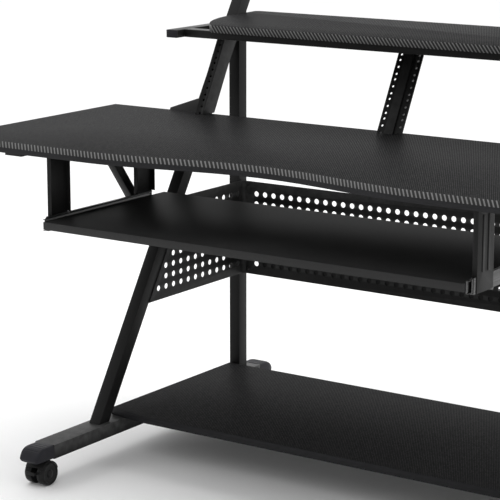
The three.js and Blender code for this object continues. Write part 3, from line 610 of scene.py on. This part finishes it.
def side_guard(hand, side):
    node = f"side_panel_{hand}"
    lowest, highest = low(node), high(node)
    points = [v.co for v in frame["nodes"][node].data.vertices]
    front_low = min(p.y for p in points if p.z < lowest.z + 1 * MM)
    front_high = min(p.y for p in points if p.z > highest.z - 1 * MM)
    bend_radius = highest.x - lowest.x
    rear = highest.y - bend_radius
    outline = [(front_low, lowest.z), (rear, lowest.z), (rear, highest.z), (front_high, highest.z)]
    lean = (front_high - front_low) / (highest.z - lowest.z)
    holes = []
    for z in row_heights:
        y = rear - FIRST_COLUMN_INSET
        limit = front_low + lean * (z - lowest.z) + SLANT_MARGIN
        while y > limit:
            holes.append((y, z))
            y -= SIDE_PITCH
    outer = highest.x if side > 0 else lowest.x
    middle = outer - side * rear_thickness / 2
    upright_y = Matrix(((0, 0, 1, middle), (1, 0, 0, 0), (0, 1, 0, 0), (0, 0, 0, 1)))
    mesh = punched_sheet(f"side_guard_{hand}", outline, holes, rear_thickness, upright_y)
    work = bmesh.new()
    work.from_mesh(mesh)
    centre_x = outer - side * bend_radius
    rings = []
    for i in range(BEND_STEPS + 1):
        turn = math.pi / 2 * i / BEND_STEPS
        for radius in (bend_radius, bend_radius - rear_thickness):
            x = centre_x + side * radius * math.cos(turn)
            y = rear + radius * math.sin(turn)
            rings.append([work.verts.new((x, y, z)) for z in (lowest.z, highest.z)])
    for i in range(BEND_STEPS):
        outer_a, inner_a, outer_b, inner_b = rings[2 * i:2 * i + 4]
        work.faces.new((outer_a[0], outer_b[0], outer_b[1], outer_a[1]))
        work.faces.new((inner_a[0], inner_a[1], inner_b[1], inner_b[0]))
        work.faces.new((outer_a[1], outer_b[1], inner_b[1], inner_a[1]))
        work.faces.new((outer_a[0], inner_a[0], inner_b[0], outer_b[0]))
    bmesh.ops.recalc_face_normals(work, faces=work.faces)
    work.to_mesh(mesh)
    work.free()
    settle(mesh, 30)
    piece = link_piece(f"side_guard_{hand}", mesh, "frame", [guard_coat])
    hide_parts(node)
    return len(holes)


for hand, side in zip(hands, (-1, 1)):
    print("side guard", hand, "holes:", side_guard(hand, side))


# %% [markdown]
# The foot caps are soft moulded noses with a few ribs across the top. A cap is drawn as a row of
# rounded sections from the tube's end to the tip, skinned with quads: each section's height
# follows the falling curve of the nose, and the ribs are small dips in that curve.

# %% Foot caps
CAP_SECTIONS, CAP_POINTS = 64, 48
CAP_SQUARENESS = 0.35     # 1 would give a round section, 0 a square one
CAP_RIBS = 5.5
RIB_DEPTH = 0.9 * MM
TIP_LIFT = 7 * MM
TUBE_CLEARANCE = 0.3 * MM


def foot_cap(hand, end):
    node = f"foot_cap_{end}_{hand}"
    lowest, highest = low(node), high(node)
    tube_low, tube_high = low(f"foot_tube_{hand}"), high(f"foot_tube_{hand}")
    direction = -1 if end == "front" else 1
    root = tube_low.y - TUBE_CLEARANCE if direction < 0 else tube_high.y + TUBE_CLEARANCE
    tip = lowest.y if direction < 0 else highest.y
    centre_x = (lowest.x + highest.x) / 2
    half = (highest.x - lowest.x) / 2
    floor_z, roof_z = lowest.z, highest.z
    work = bmesh.new()
    rings = []
    for i in range(CAP_SECTIONS + 1):
        t = 1 - (1 - i / CAP_SECTIONS) ** 1.6
        fall = 1 - max(0.0, (t - 0.34) / 0.66) ** 3.2
        roof = floor_z + (roof_z - floor_z) * (0.36 + 0.64 * fall)
        groove = max(0.0, math.sin(t * 2 * math.pi * CAP_RIBS)) ** 6 if 0.22 < t < 0.93 else 0.0
        lift = TIP_LIFT * max(0.0, (t - 0.86) / 0.14) ** 2
        base = floor_z + lift
        width = half * (1 - 0.22 * max(0.0, (t - 0.5) / 0.5) ** 2.6)
        ring = []
        for k in range(CAP_POINTS):
            turn = 2 * math.pi * k / CAP_POINTS
            cosine, sine = math.cos(turn), math.sin(turn)
            u = math.copysign(abs(cosine) ** CAP_SQUARENESS, cosine)
            v = math.copysign(abs(sine) ** CAP_SQUARENESS, sine)
            across = abs(u) < 0.72 and v > 0
            dip = RIB_DEPTH * groove * (1 if across else 0.0)
            z = (roof + base) / 2 + v * (roof - base) / 2 - dip
            ring.append(work.verts.new((centre_x + u * width, root + (tip - root) * t, z)))
        rings.append(ring)
    skin_rings(work, rings)
    mesh = mesh_from(work, node + "_mesh")
    settle(mesh, 40)
    piece = link_piece(node + "_piece", mesh, "frame", [cap_plastic])
    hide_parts(node)


for hand in hands:
    for end in ends:
        foot_cap(hand, end)
print("foot caps:", len(hands) * len(ends))


# %% [markdown]
# Castor wheels are turned shapes: a profile swept round the axle gives the tread, the rounded
# shoulder, a shallow dished face and a hub cap. The hood over them is a rounded copy. Each
# wheel is its own piece on its own body, because the two wheels of a castor turn by themselves.

# %% Castors
def turned(name, profile, axis_point, direction, steps=56):
    work = bmesh.new()
    rings = []
    for radius, depth in profile:
        if radius < 1e-6:
            rings.append([work.verts.new(axis_point + Vector((direction * depth, 0, 0)))])
            continue
        ring = []
        for k in range(steps):
            turn = 2 * math.pi * k / steps
            offset = Vector((direction * depth, radius * math.cos(turn), radius * math.sin(turn)))
            ring.append(work.verts.new(axis_point + offset))
        rings.append(ring)
    for a, b in zip(rings, rings[1:]):
        for k in range(steps):
            n = (k + 1) % steps
            corners = [a[k % len(a)], a[n % len(a)], b[n % len(b)], b[k % len(b)]]
            work.faces.new(list(dict.fromkeys(corners)))
    mesh = mesh_from(work, name)
    settle(mesh, 32)
    return mesh


def wheel_profile(radius, near, far):
    shoulder = 1.6 * MM
    rim = radius - 4 * MM
    dish = far - 1.8 * MM
    middle = (near + far) / 2     # a fine groove runs round the tread here
    return [
        (0, near + 0.2 * MM), (radius - shoulder, near),
        (radius - 0.4 * MM, near + 0.5 * MM), (radius, near + shoulder),
        (radius, middle - 0.7 * MM), (radius - 0.5 * MM, middle), (radius, middle + 0.7 * MM),
        (radius, far - 4 * MM), (radius - 0.7 * MM, far - 1.6 * MM), (radius - 2 * MM, far - 0.3 * MM),
        (rim, far), (rim - 0.8 * MM, far - 0.3 * MM), (rim - 1.6 * MM, dish), (9 * MM, dish - 0.4 * MM),
        (8.2 * MM, far - 0.6 * MM), (7 * MM, far), (0, far),
    ]


for hand in hands:
    for end in ends:
        for place in ("inside", "outside"):
            node = f"wheel_{place}_{end}_{hand}"
            lowest, highest = low(node), high(node)
            housing = f"castor_housing_{end}_{hand}"
            centre_x = (low(housing).x + high(housing).x) / 2
            direction = 1 if (lowest.x + highest.x) / 2 > centre_x else -1
            near = min(abs(lowest.x - centre_x), abs(highest.x - centre_x))
            far = max(abs(lowest.x - centre_x), abs(highest.x - centre_x))
            radius = (highest.z - lowest.z) / 2
            axle = Vector((centre_x, (lowest.y + highest.y) / 2, (lowest.z + highest.z) / 2))
            mesh = turned(node + "_mesh", wheel_profile(radius, near, far), axle, direction)
            wheel = link_piece(node + "_piece", mesh, body_of[node], [wheel_plastic])
            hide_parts(node)
        rounded_piece(f"castor_housing_{end}_{hand}", 0.5 * MM)
    rounded_piece(f"brake_pedal_{hand}", 0.6 * MM)
print("wheels: 8")


# %% [markdown]
# Small fixings make a flat-pack desk believable. One button-head screw is turned once, with a
# hexagon socket pressed into its dome, and copied to each place, with its axis along the way
# the screw was driven.

# %% Screws
SCREW_POINTS = 24
SCREW_DOME = [(1.0, 0.0), (1.0, 0.18), (0.86, 0.42), (0.62, 0.55), (0.5, 0.58)]     # in radii
SCREW_RADIUS = 3.6 * MM
SCREW_FROM_END = 6 * MM
SCREW_FROM_BOTTOM, SCREW_FROM_TOP = 12 * MM, 10 * MM


def screw_mesh(radius):
    work = bmesh.new()
    turns = [2 * math.pi * k / SCREW_POINTS for k in range(SCREW_POINTS)]
    rings = []
    for share, height in SCREW_DOME:
        rings.append([work.verts.new((
            radius * share * math.cos(turn), radius * share * math.sin(turn), radius * height,
        )) for turn in turns])

    def hexagon(share, height):
        ring = []
        for turn in turns:
            flat = math.cos(math.pi / 6) / math.cos((turn % (math.pi / 3)) - math.pi / 6)
            x = radius * share * flat * math.cos(turn)
            y = radius * share * flat * math.sin(turn)
            ring.append(work.verts.new((x, y, radius * height)))
        return ring

    rings.append(hexagon(0.46, 0.57))
    rings.append(hexagon(0.46, 0.2))
    skin_rings(work, rings)
    return mesh_from(work, "button_screw")


def drive_screws(name, places, radius, body):
    work = bmesh.new()
    for point, direction in places:
        turn = Vector(direction).to_track_quat("Z", "Y").to_matrix().to_4x4()
        copy = screw_mesh(radius)
        copy.transform(Matrix.Translation(point) @ turn)
        work.from_mesh(copy)
        bpy.data.meshes.remove(copy)
    mesh = bpy.data.meshes.new(name)
    work.to_mesh(mesh)
    work.free()
    settle(mesh, 30)
    return link_piece(name, mesh, body, [screw_metal])


guard_screws = []
for side in (-1, 1):
    for z in (rear_low.z + SCREW_FROM_BOTTOM, rear_high.z - SCREW_FROM_TOP):
        guard_screws.append((Vector((side * (rear_high.x - SCREW_FROM_END), rear_low.y, z)), (0, -1, 0)))
drive_screws("guard_screws", guard_screws, SCREW_RADIUS, "frame")
print("screws:", len(guard_screws))

# %% [markdown]
# The floor is a plain pale sheet that catches the desk's soft shadow. It is one large face with
# a very faint cloud in its tone, and it is staged rather than ridden, since it isn't part of
# the desk.

# %% Floor
floor_mesh = bpy.data.meshes.new("floor")
FLOOR_REACH = 60.0
corner_signs = [(-1, -1), (1, -1), (1, 1), (-1, 1)]
corners = [(x * FLOOR_REACH, y * FLOOR_REACH, 0) for x, y in corner_signs]
floor_mesh.from_pydata(corners, [], [(0, 1, 2, 3)])
floor_material, floor_shader, floor_where = start("pale_floor")
floor_clouds = noise(floor_material, floor_where, 0.8)
floor_tone = ramp(floor_material, floor_clouds, [(0.3, grey(0.90)), (0.7, grey(0.93))])
connect(floor_material, floor_shader, floor_tone)
floor_shader.inputs["Roughness"].default_value = 0.9
floor_shader.inputs["Specular IOR Level"].default_value = 0.1
floor_mesh.materials.append(floor_material)
floor = bpy.data.objects.new("floor", floor_mesh)
bpy.context.scene.collection.objects.link(floor)
print("floor:", 2 * FLOOR_REACH, "m across")
